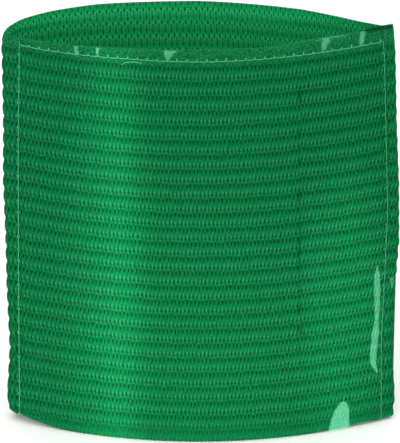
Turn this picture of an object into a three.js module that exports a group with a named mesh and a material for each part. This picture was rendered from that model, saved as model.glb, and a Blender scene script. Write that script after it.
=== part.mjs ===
// An elastic armband with a clear window, standing on its lower edge.
// Millimetres, +Z up. The window faces -Y, and X runs across it. The pieces are made with Y = 0 at
// the front of the elastic, and the whole is then moved so that the origin is the middle of the
// bottom of its box.
import * as THREE from "three";

// Driving sizes of the elastic strip.
const BAND_HEIGHT = 100;
const WALL = 1.6;
const LAP_GAP = 0.3;

// The loop seen from above. Depth runs from the front of the elastic towards its back.
const LEFT_END = -45.9;
const RIGHT_END = 44.8;
const LOOP_DEPTH = 26.5;
const FRONT_MIDDLE = -1;
const FRONT_BOW = 12.6;
const FRONT_HALF = 45;
const BACK_MIDDLE = -2.6;
const BACK_LEFT_FULLNESS = 2.3;
const BACK_RIGHT_ROUNDNESS = 1.9;
const BACK_RIGHT_FALL = 11.2;
const FOLD_DEPTH = 12.2;
const FRONT_FOLD_START = -43.4;
const BACK_FOLD_ANGLE = 0.16;
const FOLD_PULL = 0.9;
const FOLD_RISE = 0.8;
const FOLD_DROP = 0.4;
const SEAM = 42.6;
const LAP_TURN = 1.6;
const LAP_START = 0.9;
const LAP_OVERRUN = 0.9;

// How many flat faces follow each stretch of the loop.
const FRONT_FACES = 36;
const FOLD_FACES = 10;
const BACK_LEFT_FACES = 22;
const BACK_RIGHT_FACES = 20;
const LAP_FACES = 5;

// How the two ends of the front move with height: the sides bulge in the middle of the height
// and draw in near the floor.
const SIDE_ROWS = [
  { height: 0.0, left: -44.2, right: 44.9 },
  { height: 0.06, left: -44.9, right: 45.3 },
  { height: 0.18, left: -44.2, right: 44.6 },
  { height: 0.33, left: -44.9, right: 45.2 },
  { height: 0.45, left: -45.1, right: 46.1 },
  { height: 0.6, left: -45.6, right: 46.0 },
  { height: 0.75, left: -45.5, right: 45.4 },
  { height: 0.92, left: -45.7, right: 45.0 },
  { height: 1.0, left: -45.9, right: 44.5 },
];

// How far the edges of the strip draw in from its full height, by place across the armband.
const FRONT_RIM_ROWS = [
  { across: -46, top: 2.2, bottom: 2.7 },
  { across: -41, top: 2.0, bottom: 1.6 },
  { across: -36, top: 1.6, bottom: 0.5 },
  { across: -30, top: 1.2, bottom: 0 },
  { across: -20, top: 0.7, bottom: 0 },
  { across: -8, top: 0.1, bottom: 0 },
  { across: 11, top: 0.4, bottom: 0 },
  { across: 25, top: 0.1, bottom: 0 },
  { across: 33, top: 0, bottom: 0.5 },
  { across: 37, top: 0.05, bottom: 0.75 },
  { across: 41, top: 0.1, bottom: 0.4 },
  { across: 46, top: 0.3, bottom: 0.6 },
];
const BACK_RIM_ROWS = [
  { across: -46, top: 2.2, bottom: 2.7 },
  { across: -41, top: 1.5, bottom: 1.0 },
  { across: -34, top: 0.8, bottom: 0 },
  { across: -23, top: 0, bottom: 0 },
  { across: 24, top: 0, bottom: 0 },
  { across: 37, top: 1.0, bottom: 0 },
  { across: 46, top: 1.4, bottom: 0.6 },
];

// The film stands off the elastic between its seams, in two shallow swells with a crease between.
const FILM = 0.4;
const FILM_GAP = 0.3;
const FILM_TOP = 0.2;
const FILM_BOTTOM = 0.5;
const FILM_LEFT = -45.0;
const FILM_LEFT_TOP_OUT = 0.6;
const FILM_LEFT_SHARPNESS = 8;
const FILM_RIGHT_INSET = 0.4;
const STITCH_INSET = 3.6;
const CREASE = 23.3;
const SWELL = 0.5;
const SWELL_TOP = 0.965;
const SWELL_RAMP = 0.15;

// The value of a named column at a place between two rows.
function between(rows, key, at, column) {
  let upper = rows.findIndex((row) => row[key] >= at);
  if (upper < 0) upper = rows.length - 1;
  if (upper === 0) upper = 1;
  const a = rows[upper - 1];
  const b = rows[upper];
  const share = THREE.MathUtils.clamp((at - a[key]) / (b[key] - a[key]), 0, 1);
  return THREE.MathUtils.lerp(a[column], b[column], share);
}

function frontDepth(across) {
  return FRONT_BOW * ((across - FRONT_MIDDLE) / FRONT_HALF) ** 2;
}

// The left half of the back is a quarter of a full, rounded oval, from the fold to its middle.
function backLeftPoint(angle) {
  const power = 2 / BACK_LEFT_FULLNESS;
  return new THREE.Vector2(
    BACK_MIDDLE - (BACK_MIDDLE - LEFT_END) * Math.cos(angle) ** power,
    FOLD_DEPTH + (LOOP_DEPTH - FOLD_DEPTH) * Math.sin(angle) ** power,
  );
}

// The right half of the back runs nearly straight to the seam.
function backRightPoint(across) {
  const share = (across - BACK_MIDDLE) / (SEAM - BACK_MIDDLE);
  const depth = LOOP_DEPTH - BACK_RIGHT_FALL * share ** BACK_RIGHT_ROUNDNESS;
  return new THREE.Vector2(across, depth);
}

function spaced(from, to, faces, place) {
  return Array.from({ length: faces + 1 }, (_, i) =>
    place(THREE.MathUtils.lerp(from, to, i / faces)),
  );
}

// The outer face of the strip seen from above: from its front end at the right seam, over the
// front, round the left fold and along the back. Each stop knows which rim table it follows.
function outerStops() {
  const onFront = (x) => ({ at: new THREE.Vector2(x, frontDepth(x)), rim: FRONT_RIM_ROWS });
  const onBackLeft = (angle) => ({ at: backLeftPoint(angle), rim: BACK_RIM_ROWS });
  const onBackRight = (x) => ({ at: backRightPoint(x), rim: BACK_RIM_ROWS });
  const front = spaced(RIGHT_END, FRONT_FOLD_START, FRONT_FACES, onFront);
  const foldStart = onFront(FRONT_FOLD_START).at;
  const foldEnd = backLeftPoint(BACK_FOLD_ANGLE);
  const fold = new THREE.CubicBezierCurve(
    foldStart,
    new THREE.Vector2(LEFT_END + FOLD_PULL, foldStart.y + FOLD_RISE),
    new THREE.Vector2(LEFT_END, FOLD_DEPTH + FOLD_DROP),
    foldEnd,
  );
  const foldStops = spaced(0, 1, FOLD_FACES, (t) => ({
    at: fold.getPoint(t),
    rim: FRONT_RIM_ROWS,
  }));
  const backLeft = spaced(BACK_FOLD_ANGLE, Math.PI / 2, BACK_LEFT_FACES, onBackLeft);
  const backRight = spaced(BACK_MIDDLE, SEAM - LAP_TURN, BACK_RIGHT_FACES, onBackRight);
  return [...front, ...foldStops.slice(1, -1), ...backLeft, ...backRight.slice(1)];
}

// The direction out of the loop at each stop, from its two neighbours.
function outward(stops, i) {
  const before = stops[Math.max(i - 1, 0)].at;
  const after = stops[Math.min(i + 1, stops.length - 1)].at;
  const along = after.clone().sub(before).normalize();
  return new THREE.Vector2(-along.y, along.x);
}

// The back end turns at the seam and lies flat against the inside of the front end.
function lapStops() {
  const lie = (x) => {
    const slope = (2 * FRONT_BOW * (x - FRONT_MIDDLE)) / FRONT_HALF ** 2;
    const inward = new THREE.Vector2(-slope, 1).normalize();
    const onFront = new THREE.Vector2(x, frontDepth(x));
    return {
      inner: onFront.clone().addScaledVector(inward, WALL + LAP_GAP),
      outer: onFront.clone().addScaledVector(inward, 2 * WALL + LAP_GAP),
      rim: BACK_RIM_ROWS,
    };
  };
  return spaced(SEAM + LAP_START, RIGHT_END + LAP_OVERRUN, LAP_FACES, lie);
}

// Both faces of the strip as pairs of points seen from above.
function stripStops() {
  const stops = outerStops();
  const pairs = stops.map((stop, i) => ({
    outer: stop.at,
    inner: stop.at.clone().addScaledVector(outward(stops, i), -WALL),
    rim: stop.rim,
  }));
  return [...pairs, ...lapStops()];
}

// Moves a point sideways with the height, so that the two sides follow SIDE_ROWS.
function leaned(point, height) {
  const left = between(SIDE_ROWS, "height", height, "left");
  const right = between(SIDE_ROWS, "height", height, "right");
  const across = THREE.MathUtils.mapLinear(point.x, LEFT_END, RIGHT_END, left, right);
  return new THREE.Vector3(across, point.y, 0);
}

// A closed wall between two faces given as grids of points, rows upwards and stops along.
function wallGeometry(outerRows, innerRows) {
  const rows = outerRows.length;
  const stops = outerRows[0].length;
  const points = [...outerRows.flat(), ...innerRows.flat()];
  const outer = (row, stop) => row * stops + stop;
  const inner = (row, stop) => rows * stops + row * stops + stop;
  const index = [];
  const quad = (a, b, c, d) => index.push(a, b, c, a, c, d);
  for (let stop = 0; stop < stops - 1; stop++) {
    for (let row = 0; row < rows - 1; row++) {
      quad(outer(row, stop), outer(row + 1, stop), outer(row + 1, stop + 1), outer(row, stop + 1));
      quad(inner(row, stop), inner(row, stop + 1), inner(row + 1, stop + 1), inner(row + 1, stop));
    }
    const top = rows - 1;
    quad(outer(top, stop), inner(top, stop), inner(top, stop + 1), outer(top, stop + 1));
    quad(outer(0, stop), outer(0, stop + 1), inner(0, stop + 1), inner(0, stop));
  }
  const last = stops - 1;
  for (let row = 0; row < rows - 1; row++) {
    quad(outer(row, 0), inner(row, 0), inner(row + 1, 0), outer(row + 1, 0));
    quad(outer(row, last), outer(row + 1, last), inner(row + 1, last), inner(row, last));
  }
  const geometry = new THREE.BufferGeometry().setFromPoints(points);
  geometry.setIndex(index);
  geometry.computeVertexNormals();
  return geometry;
}

// One row of points at a share of the strip's height, which the rim tables shorten at the folds.
function rowAt(height, stops, face, top = 0, bottom = 0) {
  return stops.map((stop) => {
    const point = leaned(stop[face], height);
    const low = between(stop.rim, "across", point.x, "bottom") + bottom;
    const high = BAND_HEIGHT - between(stop.rim, "across", point.x, "top") + top;
    point.z = THREE.MathUtils.lerp(low, high, height);
    return point;
  });
}

function elasticBand() {
  const stops = stripStops();
  const heights = SIDE_ROWS.map((row) => row.height);
  const outerRows = heights.map((height) => rowAt(height, stops, "outer"));
  const innerRows = heights.map((height) => rowAt(height, stops, "inner"));
  const green = new THREE.MeshStandardMaterial({ color: 0x0b6f3f, roughness: 0.75, metalness: 0 });
  const mesh = new THREE.Mesh(wallGeometry(outerRows, innerRows), green);
  mesh.name = "elastic_band";
  return mesh;
}

// How far the film swells off the elastic: nothing at the seams and at the crease.
function swell(across, height) {
  const left = LEFT_END + STITCH_INSET;
  const right = RIGHT_END - STITCH_INSET;
  if (across <= left || across >= right) return 0;
  const [from, to] = across < CREASE ? [left, CREASE] : [CREASE, right];
  const over = Math.sin((Math.PI * (across - from)) / (to - from));
  const up = THREE.MathUtils.clamp((SWELL_TOP - height) / SWELL_RAMP, 0, 1);
  return SWELL * over * up;
}

// The film follows the front of the elastic, and at the fold it runs straight on to its own edge,
// which peeps past the elastic near the top.
function clearWindow() {
  const heights = SIDE_ROWS.map((row) => row.height);
  const stopsAt = (height, extra) => {
    const edge = FILM_LEFT - FILM_LEFT_TOP_OUT * height ** FILM_LEFT_SHARPNESS;
    const stops = spaced(RIGHT_END - FILM_RIGHT_INSET, edge, FRONT_FACES, (x) => ({
      at: new THREE.Vector2(x, frontDepth(x)),
      rim: FRONT_RIM_ROWS,
    }));
    return stops.map((stop, i) => {
      const off = FILM_GAP + swell(stop.at.x, height) + extra;
      const face = stop.at.clone().addScaledVector(outward(stops, i), off);
      return { face, rim: stop.rim };
    });
  };
  const rowsOf = (extra) =>
    heights.map((h) => rowAt(h, stopsAt(h, extra), "face", FILM_TOP, FILM_BOTTOM));
  const clear = new THREE.MeshStandardMaterial({
    color: 0xe9f5ef,
    roughness: 0.12,
    metalness: 0,
    transparent: true,
    opacity: 0.2,
  });
  const mesh = new THREE.Mesh(wallGeometry(rowsOf(FILM), rowsOf(0)), clear);
  mesh.name = "clear_window";
  return mesh;
}

const armband = new THREE.Group();
armband.name = "armband";
armband.add(elasticBand(), clearWindow());
const box = new THREE.Box3().setFromObject(armband);
const middle = box.getCenter(new THREE.Vector3());
armband.position.set(-middle.x, -middle.y, -box.min.z);

export default armband;
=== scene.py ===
# Elastic armband with a clear window, standing on its lower edge.
# The woven elastic, the film, the sewing thread and the studio are each made by an operator.
import math
import bmesh
import bpy
import numpy as np
from bpy.props import FloatProperty, FloatVectorProperty, IntProperty, PointerProperty
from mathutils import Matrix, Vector


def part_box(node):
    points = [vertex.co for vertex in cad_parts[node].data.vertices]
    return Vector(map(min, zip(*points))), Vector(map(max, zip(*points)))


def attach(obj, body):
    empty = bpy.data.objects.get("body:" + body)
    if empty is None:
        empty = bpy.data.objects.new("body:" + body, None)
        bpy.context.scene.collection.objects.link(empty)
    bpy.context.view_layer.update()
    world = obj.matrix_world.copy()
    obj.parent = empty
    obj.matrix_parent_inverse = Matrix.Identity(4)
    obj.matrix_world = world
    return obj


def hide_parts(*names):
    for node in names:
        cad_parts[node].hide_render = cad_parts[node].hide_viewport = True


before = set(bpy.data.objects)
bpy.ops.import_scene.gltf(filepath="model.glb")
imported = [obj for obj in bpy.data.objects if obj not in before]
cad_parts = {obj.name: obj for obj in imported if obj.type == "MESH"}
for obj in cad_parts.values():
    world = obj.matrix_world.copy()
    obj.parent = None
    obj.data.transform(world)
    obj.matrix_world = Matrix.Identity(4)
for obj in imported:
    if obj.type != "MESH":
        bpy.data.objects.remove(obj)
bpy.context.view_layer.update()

bl_info = {
    "name": "Elastic armband",
    "version": (1, 0, 0),
    "blender": (4, 5, 0),
    "location": "View3D > Sidebar > Armband",
    "description": "Makes a ribbed elastic armband with a clear film window",
    "category": "Mesh",
}

# Sizes are in millimetres, as in the construction, and become metres when a mesh is finished.
MM = 0.001

# The strip and the loop that it makes, seen from above. Depth runs from the front to the back.
BAND_HEIGHT = 100.0
WALL = 1.6
LAP_GAP = 0.3
LEFT_END = -45.9
RIGHT_END = 44.8
LOOP_DEPTH = 26.5
FRONT_MIDDLE = -1.0
FRONT_BOW = 12.6
FRONT_HALF = 45.0
BACK_MIDDLE = -2.6
BACK_LEFT_FULLNESS = 2.3
BACK_RIGHT_ROUNDNESS = 1.9
BACK_RIGHT_FALL = 11.2
FOLD_DEPTH = 12.2
FRONT_FOLD_START = -43.4
BACK_FOLD_ANGLE = 0.16
FOLD_PULL = 0.9
FOLD_RISE = 0.8
FOLD_DROP = 0.4
SEAM = 42.6
LAP_TURN = 1.6
LAP_START = 0.9
LAP_OVERRUN = 0.9
LOOP_STEP = 0.05
ACROSS_SHIFT = -0.08

# How the two sides of the front move with height.
SIDE_HEIGHTS = [0, 6, 18, 33, 45, 60, 75, 92, 100]
SIDE_LEFT = [-44.6, -45.2, -44.6, -45.2, -45.4, -45.9, -45.8, -46.0, -46.2]
SIDE_RIGHT = [45.1, 45.5, 44.8, 45.4, 46.3, 46.2, 45.6, 45.2, 44.7]

# How far the edges draw in from the strip's full height, by place across the armband.
FRONT_RIM_ACROSS = [-46, -41, -35, -30, -22, -12, 3, 13, 18, 24, 29, 37, 41, 46]
FRONT_RIM_TOP = [2.4, 2.3, 2.1, 1.9, 1.4, 1.1, 0.8, 1.1, 1.0, 0.4, 0.1, 0.15, 0.35, 0.75]
FRONT_RIM_BOTTOM = [2.7, 1.6, 0.4, 0, 0, 0, 0, 0, 0, 0, 0.25, 0.75, 0.4, 0.6]
BACK_RIM_ACROSS = [-46, -41, -34, -23, 0, 24, 37, 46]
BACK_RIM_TOP = [2.4, 1.2, 0.45, -0.3, -0.6, -0.2, 0.75, 0.9]
BACK_RIM_BOTTOM = [2.7, 1.0, 0, 0, 0, 0, 0, 0.6]

# The weave. A rib is one band of floats, and a column is one pair of warp threads. The plain
# edges start at these heights, and between the two squeeze heights nothing moves with the rim.
RIB = 3.677
RIBS = 26
FIRST_RIB = 94.76
OUTER_PLAIN_TOP = 95.3
LINING_PLAIN_TOP = 100.0
LINING_SHIFT_HEIGHTS = [88, 91, 94.5, 96, 98.6]
LINING_SHIFT = [-0.33, -0.24, 0.07, 0.33, 0.92]
PLAIN_BOTTOM = 0.5
SQUEEZE_TOP = 95.3
SQUEEZE_BOTTOM = 3.1
FRONT_COLUMN_ACROSS = [-45, -39, -22, 0, 15, 33, 45]
FRONT_COLUMN = [1.07, 1.04, 0.94, 0.89, 0.905, 0.93, 0.95]
LINING_COLUMN_ACROSS = [-45, -32, -14, 0, 10, 28, 45]
LINING_COLUMN = [1.5, 1.45, 1.43, 1.33, 1.16, 1.12, 1.12]

# Where the rows of the fine mesh lie in one rib, as shares of it from the top down.
OUTER_ROWS = [0.0, 0.1, 0.24, 0.42, 0.56, 0.68, 0.78, 0.9]
LINING_ROWS = [0.0, 0.15, 0.3, 0.42, 0.54, 0.65, 0.75, 0.88]
FACES_PER_COLUMN = 4
BACKING_ROWS = 12
BACKING_GAP = 0.02

# The film, and the stitch lines that hold it.
FILM = 0.3
FILM_LEFT = -45.0
FILM_LEFT_TOP_OUT = 0.6
FILM_LEFT_SHARPNESS = 8
FILM_RIGHT_INSET = 0.4
FILM_BOTTOM = 0.15
CREASE = 22.9
CREASE_SHIFT = 0.08

# The stitch lines as places across and heights.
LEFT_LINE_HEIGHTS = [3, 32, 70, 96.4]
LEFT_LINE = [-41.9, -42.0, -41.9, -41.5]
RIGHT_LINE_HEIGHTS = [1.4, 21.1, 37.4, 53.8, 62.7, 90.6, 96.5]
RIGHT_LINE = [42.2, 42.1, 42.8, 43.4, 43.2, 42.5, 42.2]
TOP_LINE_ACROSS = [-41.4, -37, -31, -16.5, 0, 28, 41.6]
TOP_LINE = [96.4, 96.25, 96.35, 96.6, 96.45, 96.6, 96.55]
TOP_HOLE_SHARES = [0.0, 0.514, 1.0]
TOP_HOLE_ACROSS = [-41.4, 1.73, 41.6]
SIDE_LINE_TOP = 96.6
SIDE_HOLES_TOP = 96.97
SIDE_HOLES_END = 1.2
STITCH_PULL = 0.3

# The stage, in metres, with the sensor in millimetres as lenses are. The photograph is 400 by 443
# pixels, and its height, which takes the whole sensor, shows this much at the armband.
SENSOR = 36.0
FRAME_SHOWN = 0.1021
CAMERA_AIM = Vector((0.00003, -0.01065, 0.05528))
KEY_CARD = Vector((-0.35, -1.5, 0.26))
SPOT_DISTANCE = 0.6
SPOT_DEPTH = -0.0127

SEED = 11


def linear(hex_colour):
    """A linear colour with alpha from an sRGB hex value."""
    shares = [int(hex_colour[i : i + 2], 16) / 255 for i in (1, 3, 5)]
    return (*[c / 12.92 if c <= 0.04045 else ((c + 0.055) / 1.055) ** 2.4 for c in shares], 1.0)


def add_node(tree, kind, inputs=None, stops=None, **settings):
    """Adds a node with its settings, and fills its inputs with values, sockets, or nodes, which stand
    for their first output. Stops are those of a colour ramp."""
    node = tree.nodes.new("ShaderNode" + kind)
    for name, value in settings.items():
        setattr(node, name, value)
    for key, value in (inputs or {}).items():
        if isinstance(value, bpy.types.Node):
            value = value.outputs[0]
        if isinstance(value, bpy.types.NodeSocket):
            tree.links.new(value, node.inputs[key])
        else:
            node.inputs[key].default_value = value
    for i, (place, colour) in enumerate(stops or []):
        elements = node.color_ramp.elements
        element = elements[i] if i < 2 else elements.new(place)
        element.position = place
        element.color = colour
    return node


def new_material(name):
    """An empty node material and its output node."""
    material = bpy.data.materials.new(name)
    material.use_nodes = True
    material.node_tree.nodes.clear()
    output = material.node_tree.nodes.new("ShaderNodeOutputMaterial")
    return material, material.node_tree, output


# The loop's shape


def front_depth(across):
    return FRONT_BOW * ((across - FRONT_MIDDLE) / FRONT_HALF) ** 2


def front_slope(across):
    return 2 * FRONT_BOW * (across - FRONT_MIDDLE) / FRONT_HALF**2


def outer_curve():
    """The strip's outer face seen from above, as complex numbers: across plus depth times i."""
    across = np.linspace(RIGHT_END, FRONT_FOLD_START, 900)
    front = across + 1j * front_depth(across)
    power = 2 / BACK_LEFT_FULLNESS
    angle = np.linspace(BACK_FOLD_ANGLE, math.pi / 2, 600)
    left = BACK_MIDDLE - (BACK_MIDDLE - LEFT_END) * np.cos(angle) ** power
    back_left = left + 1j * (FOLD_DEPTH + (LOOP_DEPTH - FOLD_DEPTH) * np.sin(angle) ** power)
    pulls = [
        front[-1],
        LEFT_END + FOLD_PULL + 1j * (front[-1].imag + FOLD_RISE),
        LEFT_END + 1j * (FOLD_DEPTH + FOLD_DROP),
        back_left[0],
    ]
    t = np.linspace(0, 1, 200)
    fold = sum(math.comb(3, k) * (1 - t) ** (3 - k) * t**k * pulls[k] for k in range(4))
    across = np.linspace(BACK_MIDDLE, SEAM - LAP_TURN, 900)
    share = (across - BACK_MIDDLE) / (SEAM - BACK_MIDDLE)
    back_right = across + 1j * (LOOP_DEPTH - BACK_RIGHT_FALL * share**BACK_RIGHT_ROUNDNESS)
    return np.concatenate([front, fold[1:-1], back_left, back_right[1:]])


def even_steps(curve, step):
    """The same curve with its points an even step apart, and the distance along it of each."""
    run = np.concatenate([[0], np.cumsum(np.abs(np.diff(curve)))])
    along = np.arange(0, run[-1], step)
    return np.interp(along, run, curve.real) + 1j * np.interp(along, run, curve.imag), along


def middle_curve():
    """The middle of the strip's wall: round the loop, then turned in behind the front's end."""
    outer = outer_curve()
    inward = -1j * np.gradient(outer) / np.abs(np.gradient(outer))
    middle = outer + inward * WALL / 2
    across = np.linspace(SEAM + LAP_START, RIGHT_END + LAP_OVERRUN, 60)
    slope = front_slope(across)
    behind = (1j - slope) / np.abs(1j - slope)
    lap = across + 1j * front_depth(across) + behind * (1.5 * WALL + LAP_GAP)
    curve, along = even_steps(np.concatenate([middle, lap]), LOOP_STEP)
    for _ in range(3):
        smooth = curve.copy()
        reach = int(0.6 / LOOP_STEP)
        total = np.cumsum(np.concatenate([[0], curve]))
        smooth[reach:-reach] = (total[2 * reach + 1 :] - total[: -2 * reach - 1]) / (2 * reach + 1)
        curve = smooth
    return curve, along


LOOP, LOOP_RUN = middle_curve()
LOOP_OUT = 1j * np.gradient(LOOP) / np.abs(np.gradient(LOOP))
FRONT_RUN = float(LOOP_RUN[np.argmin(np.abs(LOOP.real[: len(LOOP) // 2] - FRONT_FOLD_START))])
WHOLE_RUN = float(LOOP_RUN[-1])
FRONT_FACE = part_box("elastic_band")[0][1] / MM


def leaned(across, height):
    """Where a place across the armband lies at a height, as the sides bulge and draw in."""
    left = np.interp(height, SIDE_HEIGHTS, SIDE_LEFT)
    right = np.interp(height, SIDE_HEIGHTS, SIDE_RIGHT)
    return ACROSS_SHIFT + left + (across - LEFT_END) * (right - left) / (RIGHT_END - LEFT_END)


def unleaned(across, height):
    """The place on the unleaned loop of a place across the armband at a height."""
    left = np.interp(height, SIDE_HEIGHTS, SIDE_LEFT)
    right = np.interp(height, SIDE_HEIGHTS, SIDE_RIGHT)
    return LEFT_END + (across - ACROSS_SHIFT - left) * (RIGHT_END - LEFT_END) / (right - left)


def rim_height(height, top_drop, bottom_drop):
    """Squeezes only the edges, so that the ribs stay level where the rim draws in."""
    top = SQUEEZE_TOP + (height - SQUEEZE_TOP) * (1 - top_drop / (BAND_HEIGHT - SQUEEZE_TOP))
    low = SQUEEZE_BOTTOM - (SQUEEZE_BOTTOM - height) * (1 - bottom_drop / SQUEEZE_BOTTOM)
    return np.where(height > SQUEEZE_TOP, top, np.where(height < SQUEEZE_BOTTOM, low, height))


def crease_side(across, height):
    """How far the ribs are lifted just right of the film's crease, from 0 to 1."""
    beside = np.where(across > CREASE, np.exp(-(across - CREASE) / 7), 0)
    return beside * np.clip(np.minimum(height - 20, 88 - height) / 6, 0, 1)


def stitch_pull(across, height):
    """How strongly the side stitches draw the surface in, from 0 to 1."""
    left = bell(across - np.interp(height, LEFT_LINE_HEIGHTS, LEFT_LINE), 0.7)
    right = bell(across - np.interp(height, RIGHT_LINE_HEIGHTS, RIGHT_LINE), 0.7)
    return left + right


def on_loop(along, height, out):
    """Points at a distance along the strip, at a height, and out from the middle of its wall."""
    middle = np.interp(along, LOOP_RUN, LOOP.real) + 1j * np.interp(along, LOOP_RUN, LOOP.imag)
    away = np.interp(along, LOOP_RUN, LOOP_OUT.real) + 1j * np.interp(along, LOOP_RUN, LOOP_OUT.imag)
    place = middle + away * out
    at_front = along < FRONT_RUN
    top = np.where(
        at_front,
        np.interp(middle.real, FRONT_RIM_ACROSS, FRONT_RIM_TOP),
        np.interp(middle.real, BACK_RIM_ACROSS, BACK_RIM_TOP),
    )
    bottom = np.where(
        at_front,
        np.interp(middle.real, FRONT_RIM_ACROSS, FRONT_RIM_BOTTOM),
        np.interp(middle.real, BACK_RIM_ACROSS, BACK_RIM_BOTTOM),
    )
    level = rim_height(height, top, bottom)
    return np.column_stack([leaned(place.real, height), FRONT_FACE + place.imag, level])


def column_count(across_table, pitch_table, shift=0.0):
    """How many columns of the weave lie before each point of the loop."""
    pitch = np.interp(LOOP.real, across_table, pitch_table)
    return np.cumsum(LOOP_STEP / pitch) + shift


OUTER_COLUMNS = column_count(FRONT_COLUMN_ACROSS, FRONT_COLUMN)
LINING_COLUMNS = column_count(LINING_COLUMN_ACROSS, LINING_COLUMN)

# The relief of the weave


def bell(distance, width):
    return np.exp(-((distance / width) ** 2))


def from_whole(value):
    """How far a value is from the nearest whole number."""
    return np.abs(value - np.round(value))


def apart(phase, centre):
    """The distance between two phases of a repeating pattern."""
    return (phase - centre + 0.5) % 1 - 0.5


def wander(column, rib, table):
    """A smooth random value at a place in the weave, from a table of random numbers."""
    rows, columns = table.shape
    c = np.clip(column, 0, columns - 1.001)
    r = np.clip(rib + 2, 0, rows - 1.001)
    c0, r0 = c.astype(int), r.astype(int)
    cs, rs = c - c0, r - r0
    upper = table[r0, c0] * (1 - cs) + table[r0, c0 + 1] * cs
    lower = table[r0 + 1, c0] * (1 - cs) + table[r0 + 1, c0 + 1] * cs
    return upper * (1 - rs) + lower * rs


def outer_relief(column, rib, height, rng):
    """How far the outer face stands in or out: ribs, slanted floats, gaps and plain edges."""
    phase = rib % 1
    rib_shape = -0.42 * bell(apart(phase, 0.9), 0.2)
    lean = 0.5 * np.interp(phase, [0.2, 0.62], [0, 1])
    gap = np.clip(1 - from_whole(column - lean) / 0.3, 0, 1)
    depth = np.interp(
        phase, [0, 0.03, 0.2, 0.3, 0.5, 0.62, 0.76, 0.82, 1], [0.7, 1, 0.9, 0.3, 0.2, 0.8, 1, 0.2, 0.6]
    )
    ends = 0.1 * bell(apart(phase, 0.66), 0.1) * bell(from_whole(column), 0.28)
    loops = 0.07 * bell(apart(phase, 0.88), 0.06) * bell(from_whole(column), 0.25)
    woven = rib_shape - 0.22 * gap * depth + ends + loops
    plain = -0.22 + 0.05 * rng.standard_normal(len(column))
    edge = np.clip((height - OUTER_PLAIN_TOP) / 0.4, 0, 1) + np.clip((PLAIN_BOTTOM - height) / 0.4, 0, 1)
    rounding = -0.15 * np.clip((height - 99.5) / 0.5, 0, 1)
    return woven * (1 - edge) + plain * edge + rounding


def lining_relief(column, rib, height, rng):
    """The inner face: long floats with dashes between them, half a column apart row by row."""
    phase = rib % 1
    rib_shape = -0.08 * bell(apart(phase, 0.48), 0.22)
    long_gap = np.clip(1 - from_whole(column) / 0.2, 0, 1)
    long_depth = np.interp(phase, [0, 0.1, 0.3, 0.48, 0.58, 0.9, 1], [0.2, 0.3, 0.9, 1, 0, 0, 0.2])
    short_gap = np.clip(1 - from_whole(column + 0.5) / 0.18, 0, 1)
    short_depth = bell(apart(phase, 0.8), 0.1)
    woven = rib_shape - 0.12 * long_gap * long_depth - 0.1 * short_gap * short_depth
    return woven - 0.4 * np.clip(1 - height, 0, 1) + 0.015 * rng.standard_normal(len(column))


def row_heights(shares, plain_top):
    """The heights of the fine mesh's rows, from the bottom of the strip to its top."""
    ribs = [FIRST_RIB - RIB * (k + s) for k in range(-2, RIBS) for s in shares]
    ribs = [h for h in ribs if PLAIN_BOTTOM + 0.15 < h < plain_top - 0.15]
    top = list(np.arange(BAND_HEIGHT, plain_top - 0.1, -0.46))
    return np.array(sorted(top + ribs + [PLAIN_BOTTOM, PLAIN_BOTTOM / 2, 0]))


# Meshes


def slab(columns, rows):
    """A flat slab of size one: a finely divided face, and a plain back one below it, closed."""
    bm = bmesh.new()
    bmesh.ops.create_grid(bm, x_segments=columns, y_segments=rows, size=0.5)
    rims = []
    for side in (-0.5, 0.5):
        rim = [e for e in bm.edges if all(abs(v.co.y - side) < 1e-6 for v in e.verts)]
        new = bmesh.ops.extrude_edge_only(bm, edges=rim)["geom"]
        bmesh.ops.translate(
            bm, verts=[g for g in new if isinstance(g, bmesh.types.BMVert)], vec=(0, 0, -1)
        )
        rims += [g for g in new if isinstance(g, bmesh.types.BMEdge) and g.is_boundary]
    rims = [e for e in rims if all(v.co.z < -0.5 for v in e.verts)]
    back = bmesh.ops.bridge_loops(bm, edges=rims)["faces"]
    tall = {e for f in back for e in f.edges if abs(e.verts[0].co.y - e.verts[1].co.y) > 0.5}
    bmesh.ops.subdivide_edges(bm, edges=list(tall), cuts=BACKING_ROWS - 1, use_grid_fill=True)
    bmesh.ops.holes_fill(bm, edges=[e for e in bm.edges if e.is_boundary], sides=0)
    bmesh.ops.recalc_face_normals(bm, faces=bm.faces[:])
    return bm


def points_of(mesh):
    """The mesh's points as rows of three numbers."""
    points = np.empty(len(mesh.vertices) * 3)
    mesh.vertices.foreach_get("co", points)
    return points.reshape(-1, 3)


def corner_vertices(mesh):
    """Which point each corner of the mesh's faces stands on."""
    corners = np.empty(len(mesh.loops), dtype=np.int32)
    mesh.loops.foreach_get("vertex_index", corners)
    return corners


def paint(mesh, name, values):
    """Keeps a value for each point, which a material reads by its name."""
    mesh.attributes.new(name, "FLOAT", "POINT").data.foreach_set("value", values.astype(np.float32))


def new_object(name, data):
    """Puts a mesh, camera or light in the scene as an object at the origin."""
    obj = bpy.data.objects.new(name, data)
    bpy.context.collection.objects.link(obj)
    return obj


def finished(name, bm, place, material, uv=None, flipped=False):
    """Makes the object: place turns the slab's points into points on the armband, in millimetres."""
    mesh = bpy.data.meshes.new(name)
    bm.to_mesh(mesh)
    bm.free()
    placed, coordinates = place(points_of(mesh))
    mesh.vertices.foreach_set("co", (placed * MM).ravel())
    if coordinates is not None:
        layer = mesh.uv_layers.new(name=uv)
        layer.data.foreach_set("uv", coordinates[corner_vertices(mesh)].ravel())
    if flipped:
        mesh.flip_normals()
    mesh.shade_smooth()
    mesh.update()
    mesh.materials.append(material)
    return new_object(name, mesh)


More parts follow.
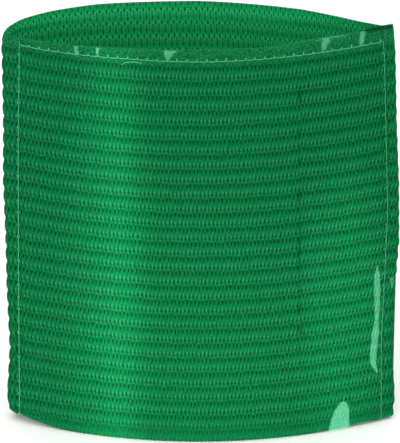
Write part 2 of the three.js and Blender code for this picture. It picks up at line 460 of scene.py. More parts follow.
def woven_wall(name, start, end, outside, material):
    """One stretch of the strip, from its middle to its outer or inner face, with the weave on it."""
    rng = np.random.default_rng(SEED + len(name))
    counted = OUTER_COLUMNS if outside else LINING_COLUMNS
    plain_top = OUTER_PLAIN_TOP if outside else LINING_PLAIN_TOP
    heights = row_heights(OUTER_ROWS if outside else LINING_ROWS, plain_top)
    first, last = np.interp([start, end], LOOP_RUN, counted)
    columns = int(round((last - first) * FACES_PER_COLUMN))
    rows = len(heights) - 1
    tables = [rng.standard_normal((RIBS + 5, int(last) + 4)) for _ in range(2)]

    def place(points):
        column = first + (points[:, 0] + 0.5) * (last - first)
        along = np.interp(column, counted, LOOP_RUN)
        height = np.interp((points[:, 1] + 0.5) * rows, np.arange(rows + 1), heights)
        rib = (FIRST_RIB - height) / RIB
        across = leaned(np.interp(along, LOOP_RUN, LOOP.real), height)
        ends = np.clip(np.minimum(along - start, end - along) / 1.5, 0, 1)
        column = column + 0.07 * ends * wander(column, rib, tables[0])
        rib = rib + 0.025 * ends * wander(column, rib, tables[1])
        if not outside:
            rib = rib - np.interp(height, LINING_SHIFT_HEIGHTS, LINING_SHIFT) / RIB
        if start == 0:
            rib = rib + CREASE_SHIFT * crease_side(across, height)
        relief = (outer_relief if outside else lining_relief)(column, rib, height, rng)
        # The upper edge is thin. The back's lies close behind its inner face, and the front's inner
        # face ends a little lower.
        thinned = np.clip((height - 95) / 5, 0, 1) ** 2
        lean, sunk = -0.35 * thinned, 0
        if start == 0:
            thinned = thinned * (1 - cut_end(across))
            lean, sunk = 0, 0 if outside else 0.45 * thinned
        if start == 0 and outside:
            relief -= STITCH_PULL * stitch_pull(across, height)
        else:
            relief -= (0.65 if outside or start == 0 else 0.45) * thinned
        if outside:
            relief += 0.42 * side_calm(across, height) * bell(apart(rib % 1, 0.9), 0.2)
        out = np.where(points[:, 2] < -0.5, BACKING_GAP, np.maximum(WALL / 2 + relief, 0.08))
        scallop = 0.14 * (1 + np.cos(2 * np.pi * column)) * np.clip(1 - height / 0.6, 0, 1)
        placed = on_loop(along, height + scallop - sunk, (out if outside else -out) + lean)
        return placed, np.column_stack([column, rib])

    obj = finished(name, slab(columns, rows), place, material, "weave", outside)
    obj.data.set_sharp_from_angle(angle=math.radians(80))
    if start == 0:
        # Paints shade, nearly black, on the upper edge of the front's right end.
        paint_end_shade(obj.data)
    return obj


def side_calm(across, height):
    """How much shallower the ribs are round the left fold, and how much deeper at the right end."""
    at_fold = np.clip((-42.5 - across) / 1.5, 0, 1) * np.interp(height, [8, 14], [0.6, 0.2])
    return at_fold - 0.6 * np.clip(across - 43.2, 0, 1)


def cut_end(across):
    """How far a place belongs to the front's right end, whose upper edge is thick and painted dark as shade.
    """
    return np.clip((across - 36) / 2.5, 0, 1)


def paint_end_shade(mesh):
    """Paints the upper edge at the right end nearly black, as painted shade of the narrow gap between the
    front and the lap behind it.
    """
    across, _, height = points_of(mesh).T / MM
    rim = BAND_HEIGHT - np.interp(across, FRONT_RIM_ACROSS, FRONT_RIM_TOP)
    painted_end_shade = cut_end(across) * np.clip((height - rim + 0.6) / 0.35, 0, 1)
    paint(mesh, "painted_end_shade", painted_end_shade)


# Materials


# How one rib looks from its top down: how dark the gaps between floats are, how light the float ends, how
# dark the short gaps of the inner face, and how bright the whole. The last is painted shade and light across
# the rib's rounded relief.
OUTER_LOOK = [
    {"phase": 0.0, "gap": 0.7, "ends": 0, "short": 0, "bright": 0.89},
    {"phase": 1.0, "gap": 0.5, "ends": 0.1, "short": 0, "bright": 0.9},
    {"phase": 0.04, "gap": 0.9, "ends": 0, "short": 0, "bright": 0.88},
    {"phase": 0.15, "gap": 0.9, "ends": 0, "short": 0, "bright": 0.91},
    {"phase": 0.29, "gap": 0.4, "ends": 0, "short": 0, "bright": 1.0},
    {"phase": 0.46, "gap": 0.2, "ends": 0.3, "short": 0, "bright": 1.04},
    {"phase": 0.6, "gap": 0.5, "ends": 0.85, "short": 0, "bright": 1.03},
    {"phase": 0.68, "gap": 0.85, "ends": 0.85, "short": 0, "bright": 0.96},
    {"phase": 0.76, "gap": 0.8, "ends": 0.2, "short": 0, "bright": 0.86},
    {"phase": 0.84, "gap": 0.3, "ends": 0.3, "short": 0, "bright": 0.92},
    {"phase": 0.93, "gap": 0.2, "ends": 0.4, "short": 0, "bright": 0.99},
]
LINING_LOOK = [
    {"phase": 0.0, "gap": 0.2, "ends": 0.55, "short": 0.5, "bright": 0.97},
    {"phase": 1.0, "gap": 0.2, "ends": 0.55, "short": 0.5, "bright": 0.97},
    {"phase": 0.12, "gap": 0.25, "ends": 0.4, "short": 0, "bright": 0.98},
    {"phase": 0.28, "gap": 0.35, "ends": 0.2, "short": 0, "bright": 1.0},
    {"phase": 0.36, "gap": 0.9, "ends": 0.1, "short": 0, "bright": 1.0},
    {"phase": 0.5, "gap": 0.9, "ends": 0, "short": 0, "bright": 1.0},
    {"phase": 0.56, "gap": 0.2, "ends": 0, "short": 0.2, "bright": 1.0},
    {"phase": 0.68, "gap": 0, "ends": 0, "short": 1, "bright": 0.98},
    {"phase": 0.71, "gap": 0, "ends": 0.9, "short": 1, "bright": 0.97},
    {"phase": 0.88, "gap": 0.15, "ends": 0.75, "short": 1, "bright": 0.97},
]


def woven_elastic(name, settings, lining):
    """Polyester and rubber elastic webbing, jacquard woven: matt dyed yarn with dark gaps between the floats,
    darkened partly as painted shade, lighter rounded float ends, lightened partly as painted highlight,
    painted shade and light across each rib, a row of tiny loops between ribs, and plain edges."""
    material, tree, output = new_material(name)
    weave = add_node(tree, "UVMap", uv_map="weave")
    place = add_node(tree, "SeparateXYZ", {0: weave})
    column, rib = place.outputs[0], place.outputs[1]
    phase = add_node(tree, "Math", {0: rib}, operation="FRACT")
    look = LINING_LOOK if lining else OUTER_LOOK
    stops = [(row["phase"], (row["gap"], row["ends"], row["short"], row["bright"] / 1.2)) for row in look]
    ramp = add_node(tree, "ValToRGB", {0: phase}, stops=stops)
    shares = add_node(tree, "SeparateColor", {0: ramp})
    # The last rib, at the lower edge, is calmer than the rest.
    calm = add_node(tree, "MapRange", {0: rib, 1: 24.2, 2: 25.0, 3: 1.0, 4: 0.6})
    # The gap runs straight down from a column, then leans half a column over to between two ends.
    lean = add_node(tree, "MapRange", {0: phase, 1: 0.2, 2: 0.62, 3: 0.0, 4: 0.0 if lining else -0.5})
    slanted = add_node(tree, "Math", {0: column, 1: lean}, operation="ADD")
    away = add_node(tree, "Math", {0: slanted, 1: 0.5}, operation="PINGPONG")
    gap = add_node(
        tree,
        "MapRange",
        {0: away, 1: 0.0, 2: 0.16 if lining else 0.27, 3: 1.0, 4: 0.0},
        interpolation_type="SMOOTHSTEP",
    )
    gap = add_node(tree, "Math", {0: gap, 1: shares.outputs[0]}, operation="MULTIPLY")
    whole = add_node(tree, "Math", {0: column, 1: 0.5}, operation="PINGPONG")
    # On the inner face the light ends are arches, whose two legs part below phase 0.7.
    from_arch = add_node(tree, "Math", {0: rib, 1: 0.3}, operation="ADD")
    from_arch = add_node(tree, "Math", {0: from_arch}, operation="FRACT")
    legs = add_node(tree, "MapRange", {0: from_arch, 1: 0.0, 2: 0.2, 3: 0.0, 4: 0.3 if lining else 0.0})
    whole = add_node(tree, "Math", {0: whole, 1: legs}, operation="SUBTRACT")
    whole = add_node(tree, "Math", {0: whole}, operation="ABSOLUTE")
    # Light float ends, partly painted highlight of yarn sheen and of light from below.
    tip = add_node(
        tree,
        "MapRange",
        {0: whole, 1: 0.18 if lining else 0.38, 2: 0.05, 3: 0.0, 4: 1.0},
        interpolation_type="SMOOTHSTEP",
    )
    tip = add_node(tree, "Math", {0: tip, 1: shares.outputs[1]}, operation="MULTIPLY")
    # The short gaps of the inner face are upright dots half a column over from the long ones.
    half = add_node(tree, "Math", {0: column, 1: 0.5}, operation="ADD")
    half = add_node(tree, "Math", {0: half, 1: 0.5}, operation="PINGPONG")
    side = add_node(tree, "Math", {0: half, 1: 0.14}, operation="DIVIDE")
    level = add_node(tree, "Math", {0: phase, 1: 0.8}, operation="SUBTRACT")
    level = add_node(tree, "Math", {0: level, 1: 0.2}, operation="DIVIDE")
    dot = add_node(tree, "CombineXYZ", {0: side, 1: level})
    dot = add_node(tree, "VectorMath", {0: dot}, operation="LENGTH")
    dot = add_node(tree, "MapRange", {0: dot.outputs[1], 1: 0.3, 2: 1.0, 3: 1.0, 4: 0.0})
    dot = add_node(tree, "Math", {0: dot, 1: shares.outputs[2]}, operation="MULTIPLY")
    # Dark gaps and dots, partly painted shade in the recesses between floats.
    dark = add_node(tree, "Math", {0: gap, 1: dot}, operation="MAXIMUM")
    dark = add_node(tree, "Math", {0: dark, 1: calm}, operation="MULTIPLY")
    light = add_node(tree, "Math", {0: tip, 1: calm}, operation="MULTIPLY")
    # Yarn: its fibres are about 0.02 mm thick, drawn as streaks 0.4 mm wide so that they show.
    fibre_place = add_node(tree, "Mapping", {0: weave, 3: (2.4, 5.0, 1.0)})
    fibre = add_node(tree, "TexNoise", {0: fibre_place, 2: 1.0, 3: 2.0, 4: 0.6})
    # Plain edges: a fine tabby weave, its crossings 0.45 mm apart. The inner face has none at its
    # top, so its threshold is put out of reach.
    speck = add_node(tree, "TexCoord")
    speck = add_node(tree, "TexNoise", {0: speck.outputs["Object"], 2: 1 / (0.45 * MM), 3: 1.0, 4: 0.5})
    speck = add_node(tree, "MapRange", {0: speck, 1: 0.3, 2: 0.7, 3: 0.0, 4: 1.0})
    top_rib = (FIRST_RIB - OUTER_PLAIN_TOP) / RIB - (10 if lining else 0)
    above = add_node(tree, "Math", {0: rib, 1: top_rib}, operation="LESS_THAN")
    below = add_node(tree, "Math", {0: rib, 1: (FIRST_RIB - PLAIN_BOTTOM) / RIB}, operation="GREATER_THAN")
    plain = add_node(tree, "Math", {0: above, 1: below}, operation="ADD")
    floats = add_node(
        tree,
        "Mix",
        {0: light, 6: linear_of(settings.body), 7: linear_of(settings.float_end_and_sheen)},
        data_type="RGBA",
    )
    woven = add_node(
        tree, "Mix", {0: dark, 6: floats.outputs[2], 7: linear_of(settings.gap)}, data_type="RGBA"
    )
    # Painted shade and light across each rib, carried in the ramp's alpha.
    bright = add_node(tree, "Math", {0: ramp.outputs[1], 1: 1.2}, operation="MULTIPLY")
    woven = add_node(tree, "VectorMath", {0: woven.outputs[2], 1: bright}, operation="MULTIPLY")
    tabby = add_node(
        tree,
        "Mix",
        {0: speck, 6: linear_of(settings.edge_dark), 7: linear_of(settings.edge_light)},
        data_type="RGBA",
    )
    colour = add_node(tree, "Mix", {0: plain, 6: woven, 7: tabby.outputs[2]}, data_type="RGBA")
    # Painted light: the inner face's colours are lifted by the inner face setting.
    strength = settings.lining_painted_light if lining else 1.0
    shade = add_node(tree, "MapRange", {0: fibre, 1: 0.25, 2: 0.75, 3: 0.68 * strength, 4: 1.32 * strength})
    # Painted shade: the upper edge at the front's right end is made nearly black where the painted value is
    # 1, for the shadowed gap behind it.
    painted_end_shade = add_node(tree, "Attribute", attribute_name="painted_end_shade")
    kept = add_node(tree, "MapRange", {0: painted_end_shade.outputs[2], 1: 0.0, 2: 1.0, 3: 1.0, 4: 0.22})
    shade = add_node(tree, "Math", {0: shade, 1: kept}, operation="MULTIPLY")
    colour = add_node(tree, "VectorMath", {0: colour.outputs[2], 1: shade}, operation="MULTIPLY")
    raised = add_node(tree, "Math", {0: light, 1: dark}, operation="SUBTRACT")
    raised = add_node(tree, "Math", {0: raised, 1: fibre}, operation="ADD")
    bump = add_node(tree, "Bump", {"Strength": 0.35, "Distance": 0.1 * MM, "Height": raised})
    shader = add_node(
        tree,
        "BsdfPrincipled",
        {
            "Base Color": colour,
            "Roughness": 0.8,
            "Specular IOR Level": 0.01,
            "Normal": bump,
        },
    )
    tree.links.new(shader.outputs[0], output.inputs[0])
    return material


def linear_of(colour):
    """A property group's colour as a shader's linear colour with alpha."""
    return (*colour, 1.0)


def clear_film(settings):
    """Soft clear PVC film, calendered: you see the weave through it, and it shows only where a
    crease or pucker turns towards a light, as a sharp pale green patch."""
    material, tree, output = new_material("clear_pvc_film")
    crease = add_node(tree, "Attribute", attribute_name="crease")
    clear = add_node(tree, "MapRange", {0: crease.outputs[2], 1: 0.0, 2: 1.0, 3: 1.0, 4: 0.5})
    through = add_node(tree, "BsdfTransparent", {0: clear})
    gloss = add_node(tree, "BsdfAnisotropic", {"Color": linear_of(settings.reflection), "Roughness": 0.35})
    # The share that is mirrored grows towards grazing, the same on both faces of the film, and is
    # strong where a pucker has stretched the film dull.
    facing = add_node(tree, "LayerWeight", {"Blend": 0.5})
    grazing = add_node(tree, "Math", {0: facing.outputs[1], 1: 5.0}, operation="POWER")
    grazing = add_node(tree, "Math", {0: grazing, 1: 0.25}, operation="MULTIPLY")
    pucker = add_node(tree, "Attribute", attribute_name="pucker")
    share = add_node(
        tree, "Math", {0: pucker.outputs[2], 1: settings.gloss, 2: grazing}, operation="MULTIPLY_ADD"
    )
    mixed = add_node(tree, "MixShader", {0: share, 1: through, 2: gloss})
    tree.links.new(mixed.outputs[0], output.inputs[0])
    return material


def sewing_thread(settings):
    """Spun polyester sewing thread: paler than the elastic, with a soft satin look."""
    material, tree, output = new_material("polyester_sewing_thread")
    place = add_node(tree, "TexCoord")
    noise = add_node(tree, "TexNoise", {0: place.outputs["Object"], 2: 1 / (0.25 * MM)})
    colour = add_node(
        tree,
        "Mix",
        {0: noise, 6: linear_of(settings.thread_dark), 7: linear_of(settings.thread_light)},
        data_type="RGBA",
    )
    bump = add_node(tree, "Bump", {"Strength": 0.4, "Distance": 0.05 * MM, "Height": noise})
    shader = add_node(
        tree,
        "BsdfPrincipled",
        {
            "Base Color": colour.outputs[2],
            "Roughness": 0.5,
            "Specular IOR Level": 0.3,
            "Normal": bump,
        },
    )
    tree.links.new(shader.outputs[0], output.inputs[0])
    return material


# The film

# Puckers of the film that turn towards the light: their heights from low to high, their two sides
# at each height, and how softly they end.
PUCKERS = {
    "hem, far left": {"heights": [96.4, 98.8], "left": [-28.7, -29.0], "right": [-28.1, -27.9]},
    "hem, left": {"heights": [96.7, 99.1], "left": [-23.7, -23.9], "right": [-23.4, -23.1]},
    "hem, middle": {
        "heights": [96.7, 97.5, 98.4, 99.3],
        "left": [-7.6, -8.0, -8.2, -8.4],
        "right": [-7.1, -6.6, -5.9, -4.7],
    },
    "hem, right": {
        "heights": [96.9, 98.9, 100.5],
        "left": [27.8, 27.8, 28.2],
        "right": [28.8, 29.9, 29.9],
        "soft": 0.9,
    },
    "rim": {"heights": [99.7, 100.6], "left": [27.0, 27.5], "right": [33.5, 33.5], "soft": 0.9},
    "bar": {"heights": [96.7, 100.6], "left": [36.5, 36.7], "right": [37.6, 38.3]},
    "ridge": {
        "heights": [13.1, 14.5, 16.0, 18.3, 21.1, 23.0, 24.9, 26.1, 28.8, 36.6, 38.8, 40.6],
        "left": [41.1, 40.2, 39.6, 39.6, 39.8, 39.9, 40.2, 40.6, 40.6, 40.4, 40.6, 41.0],
        "right": [41.4, 41.1, 40.9, 41.0, 41.3, 41.5, 41.6, 41.4, 41.7, 41.8, 41.6, 41.1],
        "soft": 0.5,
    },
    "right edge": {"heights": [34.1, 36.7], "left": [44.4, 44.0], "right": [44.7, 44.9]},
    "lower edge": {
        "heights": [0.3, 3.4, 5.4, 6.7, 7.4],
        "left": [29.8, 30.5, 31.3, 32.0, 32.8],
        "right": [34.7, 34.7, 34.6, 34.3, 33.7],
    },
}


def pucker_share(pucker, across, height):
    """How far each point of the film belongs to the pucker, from 0 outside to 1 inside."""
    low, high = pucker["heights"][0], pucker["heights"][-1]
    left = np.interp(height, pucker["heights"], pucker["left"])
    right = np.interp(height, pucker["heights"], pucker["right"])
    inside = np.minimum(np.minimum(across - left, right - across), np.minimum(height - low, high - height))
    return np.clip(0.6 + inside / pucker.get("soft", 0.35), 0, 1)


def film_off(across, height):
    """How far the film stands off the crests of the ribs."""
    left = across - np.interp(height, LEFT_LINE_HEIGHTS, LEFT_LINE)
    right = np.interp(height, RIGHT_LINE_HEIGHTS, RIGHT_LINE) - across
    inner = np.clip(np.minimum(left, right) / 4, 0, 1)
    from_crease = np.clip(np.abs(across - CREASE) / 4, 0, 1)
    below_stitch = np.clip((np.interp(across, TOP_LINE_ACROSS, TOP_LINE) - height) / 6, 0, 1)
    swell = 0.35 * inner * from_crease * below_stitch
    ridge = 0.25 * pucker_share(PUCKERS["ridge"] | {"soft": 1.2}, across, height)
    return 0.14 + swell + ridge - 0.24 * stitch_pull(across, height)


def film_points(across, height, out, true_height=False):
    """Points on the film at a place on the unleaned loop, at a distance out from the crests."""
    slope = front_slope(across)
    away = (slope - 1j) / np.abs(slope - 1j)
    place = across + 1j * front_depth(across) + away * out
    top = np.interp(across, FRONT_RIM_ACROSS, FRONT_RIM_TOP) - 0.2
    bottom = np.interp(across, FRONT_RIM_ACROSS, FRONT_RIM_BOTTOM) + FILM_BOTTOM
    level = height if true_height else rim_height(height, top, bottom)
    return np.column_stack([leaned(place.real, height), FRONT_FACE + place.imag, level])


CLASSES = []


def register_class(cls):
    """Keeps the class in the list that register and unregister go through."""
    CLASSES.append(cls)
    return cls


def colour_property(name, description, hex_colour):
    return FloatVectorProperty(
        name=name, description=description, default=linear(hex_colour)[:3], subtype="COLOR", min=0, max=1
    )


@register_class
class ArmbandElasticSettings(bpy.types.PropertyGroup):
    """Colours of the woven elastic."""

    body: colour_property("Yarn", "Colour of the floats of yarn", "#096538")
    # The float ends are lighter partly as painted highlight: yarn sheen on the crests and light from below on
    # the ribs' lower flanks.
    float_end_and_sheen: colour_property("Float ends", "Colour of the rounded ends of the floats", "#247b4b")
    # The gaps' colour is partly the darker yarn deep between the floats and partly painted shade in these
    # recesses.
    gap: colour_property("Gaps", "Colour between the floats", "#002a08")
    edge_dark: colour_property("Plain edge, dark", "Darker yarn of the plain edges", "#09532c")
    edge_light: colour_property("Plain edge, light", "Lighter yarn of the plain edges", "#1b7646")
    # Painted light: the inner face has the same yarn colours, made this many times brighter for light that
    # the inside of the loop does not get.
    lining_painted_light: FloatProperty(
        name="Inner face", description="How bright the inner face is made", default=2.45, min=0
    )


@register_class
class ArmbandWindowSettings(bpy.types.PropertyGroup):
    """Look and fineness of the clear film."""

    reflection: colour_property("Reflection", "Tint of what the film mirrors", "#90ffce")
    gloss: FloatProperty(
        name="Gloss", description="Share of light that a pucker mirrors", default=0.077, min=0, max=1
    )
    fineness: FloatProperty(
        name="Mesh step", description="Size of the film mesh's faces, in millimetres", default=0.3, min=0.1
    )


@register_class
class ArmbandStitchSettings(bpy.types.PropertyGroup):
    """Sewing thread and stitch lengths."""

    thread_dark: colour_property("Thread, dark", "Darker part of the thread", "#1b8f56")
    thread_light: colour_property("Thread, light", "Lighter part of the thread", "#4cc08a")
    thread: FloatProperty(
        name="Thread", description="Thickness of the thread", default=0.18 * MM, unit="LENGTH", min=0
    )
    top_stitches: IntProperty(
        name="Top stitches", description="Number of stitches along the top", default=37, min=2
    )
    side_pitch: FloatProperty(
        name="Side stitch", description="Length of a stitch down the sides", default=3.08 * MM, unit="LENGTH"
    )


@register_class
class ArmbandStageSettings(bpy.types.PropertyGroup):
    """Camera, floor and lights."""

    elevation: FloatProperty(
        name="Elevation",
        description="How far above level the camera looks from",
        default=math.radians(24.26),
        subtype="ANGLE",
    )
    distance: FloatProperty(
        name="Distance", description="From the camera to the armband", default=3.2, unit="LENGTH"
    )
    floor: colour_property("Floor", "Colour of the paper floor", "#f7f7f5")
    sky: FloatProperty(name="Sky", description="Brightness all round", default=0.5, min=0)


def declare(piece, node=None):
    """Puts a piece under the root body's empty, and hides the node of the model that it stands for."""
    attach(piece, "root")
    if node:
        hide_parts(node)


def weave_face(side, material):
    """Weaves one face of the elastic, the stretch at the front and the stretch at the back."""
    for stretch, start, end in (("front", 0.0, FRONT_RUN), ("back", FRONT_RUN, WHOLE_RUN)):
        piece = woven_wall(f"elastic_{stretch}_{side}", start, end, side == "outside", material)
        declare(piece, "elastic_band")


@register_class
class ARMBAND_OT_outside(bpy.types.Operator):
    """Weaves the outer face of the elastic, front and back"""

    bl_idname = "armband.outside"
    bl_label = "Outer face of the elastic"

    def execute(self, context):
        material = woven_elastic("ribbed_elastic_outer_face", context.scene.armband_elastic, False)
        weave_face("outside", material)
        return {"FINISHED"}


@register_class
class ARMBAND_OT_lining(bpy.types.Operator):
    """Weaves the inner face of the elastic, front and back"""

    bl_idname = "armband.lining"
    bl_label = "Inner face of the elastic"

    def execute(self, context):
        material = woven_elastic("ribbed_elastic_inner_face", context.scene.armband_elastic, True)
        weave_face("inside", material)
        return {"FINISHED"}


@register_class
class ARMBAND_OT_window(bpy.types.Operator):
    """Makes the clear film over the front, with its puckers"""

    bl_idname = "armband.window"
    bl_label = "Clear window"

    def execute(self, context):
        settings = context.scene.armband_window
        columns = int((RIGHT_END - FILM_LEFT) / settings.fineness)
        rows = int(BAND_HEIGHT / settings.fineness / 1.3)
        right = RIGHT_END - FILM_RIGHT_INSET

        def place(points):
            height = (points[:, 1] + 0.5) * BAND_HEIGHT
            left = FILM_LEFT - FILM_LEFT_TOP_OUT * (height / BAND_HEIGHT) ** FILM_LEFT_SHARPNESS
            across = right + (points[:, 0] + 0.5) * (left - right)
            off = film_off(leaned(across, height), height)
            face = points[:, 2] > -0.5
            return film_points(across, height, np.where(face, off + FILM, off)), None

        film = finished("clear_film_window", slab(columns, rows), place, clear_film(settings), None, True)
        film.data.set_sharp_from_angle(angle=math.radians(60))
        points = points_of(film.data) / MM
        outer_face = np.arange(len(points)) < (columns + 1) * (rows + 1)
        self.turn_puckers(film.data, points, outer_face)
        self.mark_crease(film.data, points, outer_face)
        declare(film, "clear_window")
        return {"FINISHED"}

    def turn_puckers(self, mesh, points, outer_face):
        """Turns the outer face's normals in each pucker halfway between the camera and the key card."""
        elevation = bpy.context.scene.armband_stage.elevation
        eye = np.array([0, -math.cos(elevation), math.sin(elevation)])
        to_card = np.array(KEY_CARD) - points * MM
        to_card /= np.linalg.norm(to_card, axis=1)[:, None]
        turned = eye + to_card
        turned /= np.linalg.norm(turned, axis=1)[:, None]
        share = np.zeros(len(points))
        for name, pucker in PUCKERS.items():
            inside = pucker_share(pucker, points[:, 0], points[:, 2])
            if not inside.any():
                raise RuntimeError(f"the pucker {name} lies off the film")
            share = np.maximum(share, inside * outer_face)
        corners = corner_vertices(mesh)
        normals = np.empty(len(mesh.loops) * 3)
        mesh.corner_normals.foreach_get("vector", normals)
        normals = normals.reshape(-1, 3)
        blend = (share[corners] * (normals[:, 1] < -0.6))[:, None]
        normals = normals * (1 - blend) + turned[corners] * blend
        normals /= np.linalg.norm(normals, axis=1)[:, None]
        mesh.normals_split_custom_set(normals.tolist())
        paint(mesh, "pucker", share)

    def mark_crease(self, mesh, points, outer_face):
        """Marks the crease, a broken upright line where the film is less clear, and a nick beside it."""
        rng = np.random.default_rng(SEED)
        across = CREASE + 0.12 * np.sin(points[:, 2] * 0.4)
        broken = np.interp(points[:, 2], np.arange(20, 92, 1.5), rng.uniform(-0.4, 1, 48), left=0, right=0)
        line = bell(points[:, 0] - across, 0.28) * np.clip(broken, 0, 1)
        nick = bell(points[:, 0] - CREASE - 0.7, 0.25) * bell(points[:, 2] - 27, 0.8)
        line = np.maximum(line, nick) * outer_face
        paint(mesh, "crease", line)


def thread_tube(bm, path, radius):
    """Adds a round thread through the points of a path, narrowed and closed at both ends."""
    sides = 6
    ring = None
    for i, point in enumerate(path):
        before = path[max(i - 1, 0)]
        after = path[min(i + 1, len(path) - 1)]
        narrow = 0.55 if i in (0, len(path) - 1) else 1.0
        turn = (after - before).to_track_quat("Z", "Y").to_matrix().to_4x4()
        turn.translation = point
        new = bmesh.ops.create_circle(
            bm, cap_ends=i in (0, len(path) - 1), segments=sides, radius=radius * narrow, matrix=turn
        )["verts"]
        edges = list({e for v in new for e in v.link_edges})
        if ring:
            bmesh.ops.bridge_loops(bm, edges=ring + edges)
        ring = edges


def stitched_piece(name, paths, radius, material):
    bm = bmesh.new()
    for path in paths:
        thread_tube(bm, [Vector(p) for p in path], radius)
    bmesh.ops.recalc_face_normals(bm, faces=bm.faces[:])
    mesh = bpy.data.meshes.new(name)
    bm.to_mesh(mesh)
    bm.free()
    mesh.shade_smooth()
    mesh.materials.append(material)
    return new_object(name, mesh)


def on_film(across, height, out=0.0):
    """A point in metres on the film's outer face at a true place across and height."""
    across, height = np.array([across], float), np.array([height], float)
    out = film_off(across, height) + FILM + out
    plan = unleaned(across, height)
    for _ in range(2):
        placed = film_points(plan, height, out, true_height=True)
        plan = plan + across - placed[:, 0]
    return placed[0] * MM


@register_class
class ARMBAND_OT_stitching(bpy.types.Operator):
    """Sews the film to the elastic along the top and down both sides"""

    bl_idname = "armband.stitching"
    bl_label = "Stitching"

    def execute(self, context):
        settings = context.scene.armband_stitching
        material = sewing_thread(settings)
        radius = settings.thread / 2
        rng = np.random.default_rng(SEED)
        top = self.top_paths(settings.top_stitches, rng)
        left = self.side_paths(LEFT_LINE_HEIGHTS, LEFT_LINE, settings.side_pitch / MM, rng, False)
        right = self.side_paths(RIGHT_LINE_HEIGHTS, RIGHT_LINE, settings.side_pitch / MM, rng, True)
        for name, paths, share in (
            ("top_stitching", top, 1.0),
            ("left_stitching", left, 0.9),
            ("right_stitching", right, 0.7),
        ):
            piece = stitched_piece(name, paths, radius * share, material)
            declare(piece)
        return {"FINISHED"}

    def top_paths(self, count, rng):
        """Each stitch is a light thread along the line and a short tick up at its right end."""
        paths = []
        holes = np.interp(np.linspace(0, 1, count + 1), TOP_HOLE_SHARES, TOP_HOLE_ACROSS)
        for left, right in zip(holes[:-1], holes[1:]):
            path = []
            for t in np.linspace(0.06, 0.94, 6):
                across = left + (right - left) * t
                height = np.interp(across, TOP_LINE_ACROSS, TOP_LINE)
                path.append(on_film(across, height, 0.1 * math.sin(math.pi * t) - 0.06))
            paths.append(path)
            height = np.interp(right, TOP_LINE_ACROSS, TOP_LINE)
            tick = rng.uniform(0.5, 0.85)
            for side in (-0.18, 0.0):
                paths.append([on_film(right + side, height + tick * t, 0.16 - 0.05 * t) for t in (0, 0.5, 1)])
        # A fine loose end of thread lies in an arc just below the line.
        loose = [(-17.9, 95.1), (-17.2, 95.6), (-16.2, 95.9), (-15.2, 95.95), (-14.2, 95.85), (-13.3, 95.7)]
        paths.append([on_film(across, height, 0.0) for across, height in loose])
        # A knot stands at each end of the line.
        for across, height in ((TOP_LINE_ACROSS[0], TOP_LINE[0]), (TOP_LINE_ACROSS[-1], TOP_LINE[-1])):
            paths.append([on_film(across + 0.2 * t, height + 0.4 - 0.5 * t, 0.05) for t in (-1, 0, 1)])
        return paths

    def side_paths(self, heights, line, pitch, rng, slanted):
        """Threads down a side. At each hole the left side has a ring and the right a slanted tick."""
        paths = []
        holes = np.arange(SIDE_HOLES_TOP, SIDE_HOLES_END, -pitch)
        for top, bottom in zip(holes[:-1], holes[1:]):
            path = []
            for t in np.linspace(0.08, 0.9, 6):
                height = min(top + (bottom - top) * t, SIDE_LINE_TOP)
                across = np.interp(height, heights, line) + rng.normal(0, 0.015)
                path.append(on_film(across, height, 0.1 * math.sin(math.pi * t) - 0.08))
            paths.append(path)
            across = np.interp(bottom, heights, line)
            if bottom < heights[0]:
                continue
            if slanted:
                paths.append(
                    [on_film(across + 0.2 - 0.7 * t, bottom + 0.3 - 0.8 * t, 0.06) for t in (0, 0.5, 1)]
                )
            else:
                turns = np.linspace(-0.9, 0.9, 8) * math.pi
                paths.append(
                    [on_film(across - 0.27 * math.cos(a), bottom + 0.26 * math.sin(a), 0.05) for a in turns]
                )
        return paths


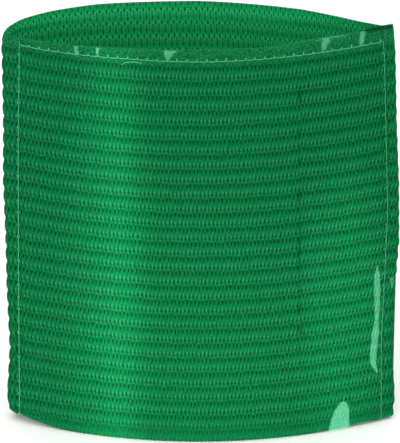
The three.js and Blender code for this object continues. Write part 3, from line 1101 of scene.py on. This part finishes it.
@register_class
class ARMBAND_OT_stage(bpy.types.Operator):
    """Sets the camera, the paper floor and the studio lights"""

    bl_idname = "armband.stage"
    bl_label = "Camera, floor and lights"

    def execute(self, context):
        settings = context.scene.armband_stage
        self.camera(settings)
        self.floor(settings)
        self.lights(settings)
        context.scene.view_settings.view_transform = "Standard"
        return {"FINISHED"}

    def camera(self, settings):
        """The camera looks at the armband from straight in front and above, through a long lens."""
        data = bpy.data.cameras.new("camera")
        data.lens = SENSOR * settings.distance / FRAME_SHOWN
        data.clip_start = 0.1
        data.clip_end = 50.0
        camera = new_object("camera", data)
        back = Vector((0, -math.cos(settings.elevation), math.sin(settings.elevation)))
        camera.location = CAMERA_AIM + back * settings.distance
        camera.rotation_euler = (-back).to_track_quat("-Z", "Y").to_euler()
        bpy.context.scene.camera = camera

    def floor(self, settings):
        bm = bmesh.new()
        bmesh.ops.create_grid(bm, x_segments=2, y_segments=2, size=3.0)
        mesh = bpy.data.meshes.new("floor")
        bm.to_mesh(mesh)
        bm.free()
        material, tree, output = new_material("matt_background_paper")
        shader = add_node(
            tree,
            "BsdfPrincipled",
            {"Base Color": linear_of(settings.floor), "Roughness": 0.9, "Specular IOR Level": 0.1},
        )
        tree.links.new(shader.outputs[0], output.inputs[0])
        mesh.materials.append(material)
        new_object("floor", mesh)

    def lights(self, settings):
        world = bpy.data.worlds.new("studio")
        world.use_nodes = True
        world.node_tree.nodes["Background"].inputs[0].default_value = (1, 1, 1, 1)
        world.node_tree.nodes["Background"].inputs[1].default_value = settings.sky
        bpy.context.scene.world = world
        self.area("key_card", KEY_CARD, (0, 0, 0.05), (0.3, 0.15), 4.4)
        self.area("overhead", Vector((0, -0.02, 0.9)), (0, -0.02, 0), (1.2, 1.2), 9.0)
        self.area("high_front", Vector((-0.5, -1.0, 1.1)), (0, 0, 0.08), (0.8, 0.5), 5.4)
        self.area("low_bounce", Vector((-0.002, -0.065, 0.002)), (-0.002, 0, 0.015), (0.12, 0.03), 0.046)
        # Two narrow spots from the left front make the bright upright band on the front, and a
        # third lights the lower right.
        for name, across, middle, half_width, half_height, power, turn in (
            ("narrow_spot", -0.0193, 0.042, 0.006, 0.085, 8.4, -13),
            ("wide_spot", -0.0221, 0.042, 0.0116, 0.085, 8.0, -13),
            ("right_spot", 0.0345, 0.03, 0.013, 0.046, 7.6, 8),
        ):
            lit = Vector((across, SPOT_DEPTH, middle))
            away = Vector((math.sin(math.radians(turn)), -math.cos(math.radians(turn)), 0))
            self.spot(name, lit + away * SPOT_DISTANCE, lit, (half_width, half_height), power)

    def area(self, name, place, target, size, power):
        """A rectangular light that faces a point."""
        data = bpy.data.lights.new(name, "AREA")
        data.shape = "RECTANGLE"
        data.size, data.size_y = size
        self.aimed(data, place, target, power)

    def spot(self, name, place, target, half_size, power):
        """A spot whose soft pool of light is an upright ellipse of this size at its target."""
        data = bpy.data.lights.new(name, "SPOT")
        data.spot_size = 2 * math.atan(half_size[1] / (Vector(target) - place).length)
        data.spot_blend = 1.0
        data.shadow_soft_size = 0.004
        light = self.aimed(data, place, target, power)
        light.scale = (half_size[0] / half_size[1], 1, 1)

    def aimed(self, data, place, target, power):
        """A light object at a place, turned to its target with its own upright kept."""
        data.energy = power
        light = new_object(data.name, data)
        light.location = place
        light.rotation_euler = (Vector(target) - place).to_track_quat("-Z", "Y").to_euler()
        return light


@register_class
class ARMBAND_PT_panel(bpy.types.Panel):
    """Lists the armband's settings and operators"""

    bl_label = "Elastic armband"
    bl_idname = "ARMBAND_PT_panel"
    bl_space_type = "VIEW_3D"
    bl_region_type = "UI"
    bl_category = "Armband"

    def draw(self, context):
        for group in ("armband_elastic", "armband_window", "armband_stitching", "armband_stage"):
            box = self.layout.box()
            settings = getattr(context.scene, group)
            for name in settings.__annotations__:
                box.prop(settings, name)
        for operator in OPERATORS:
            self.layout.operator(f"armband.{operator}")


OPERATORS = ("stage", "outside", "lining", "window", "stitching")


def register():
    for cls in CLASSES:
        bpy.utils.register_class(cls)
    bpy.types.Scene.armband_elastic = PointerProperty(type=ArmbandElasticSettings)
    bpy.types.Scene.armband_window = PointerProperty(type=ArmbandWindowSettings)
    bpy.types.Scene.armband_stitching = PointerProperty(type=ArmbandStitchSettings)
    bpy.types.Scene.armband_stage = PointerProperty(type=ArmbandStageSettings)


def unregister():
    for group in ("armband_elastic", "armband_window", "armband_stitching", "armband_stage"):
        delattr(bpy.types.Scene, group)
    for cls in reversed(CLASSES):
        bpy.utils.unregister_class(cls)


def main():
    register()
    for operator in OPERATORS:
        getattr(bpy.ops.armband, operator)()


if __name__ == "__main__":
    main()
